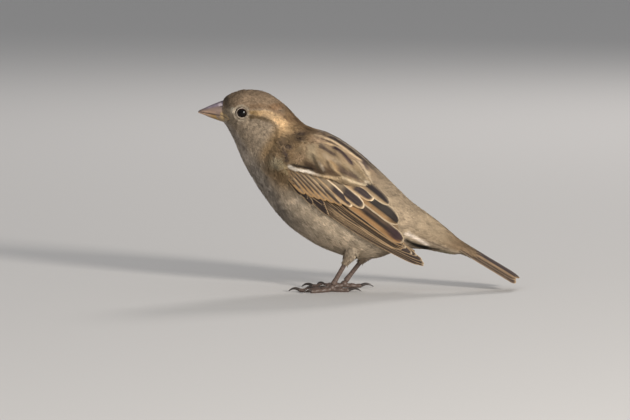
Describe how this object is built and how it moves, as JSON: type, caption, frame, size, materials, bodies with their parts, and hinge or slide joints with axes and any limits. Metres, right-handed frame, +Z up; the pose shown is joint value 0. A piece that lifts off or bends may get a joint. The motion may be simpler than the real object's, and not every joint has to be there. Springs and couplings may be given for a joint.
{
  "type": "house sparrow",
  "caption": "Life-size still model of a female house sparrow, standing in profile with closed bill, folded wings and a long closed tail.",
  "frame": {"origin": "Centre of the bounding box in plan, on the floor plane that the toe pads rest on.", "axes": "+Z up, +X from the bill towards the tail, +Y from the bird's left side towards its right side."},
  "size_m": [0.1318, 0.0426, 0.0824],
  "materials": {
    "plumage": "soft matte contour feathers, streaked brown and buff",
    "wing": "flight feathers and coverts, dark brown with buff edges",
    "tail": "long tail feathers, brown with thin buff edges",
    "bill": "satin horn, darker on the ridge, yellowish below",
    "eye": "wet gloss, almost black brown",
    "leg": "scaled skin, satin",
    "claw": "satin dark horn"
  },
  "bodies": {
    "root": {"head": "plumage", "neck": "plumage", "trunk": "plumage", "thigh_left": "plumage", "thigh_right": "plumage", "bill_upper": "bill", "bill_lower": "bill", "eye_left": "eye", "eye_right": "eye", "tail": "tail", "wing_left_coverts": "wing", "wing_left_secondaries": "wing", "wing_left_primaries": "wing", "wing_right_coverts": "wing", "wing_right_secondaries": "wing", "wing_right_primaries": "wing", "tarsus_left": "leg", "tarsus_right": "leg", "foot_left": "leg", "foot_right": "leg", "toe_left_1": "leg", "toe_left_2": "leg", "toe_left_3": "leg", "toe_left_4": "leg", "toe_right_1": "leg", "toe_right_2": "leg", "toe_right_3": "leg", "toe_right_4": "leg", "claw_left_1": "claw", "claw_left_2": "claw", "claw_left_3": "claw", "claw_left_4": "claw", "claw_right_1": "claw", "claw_right_2": "claw", "claw_right_3": "claw", "claw_right_4": "claw"}
  },
  "joints": []
}
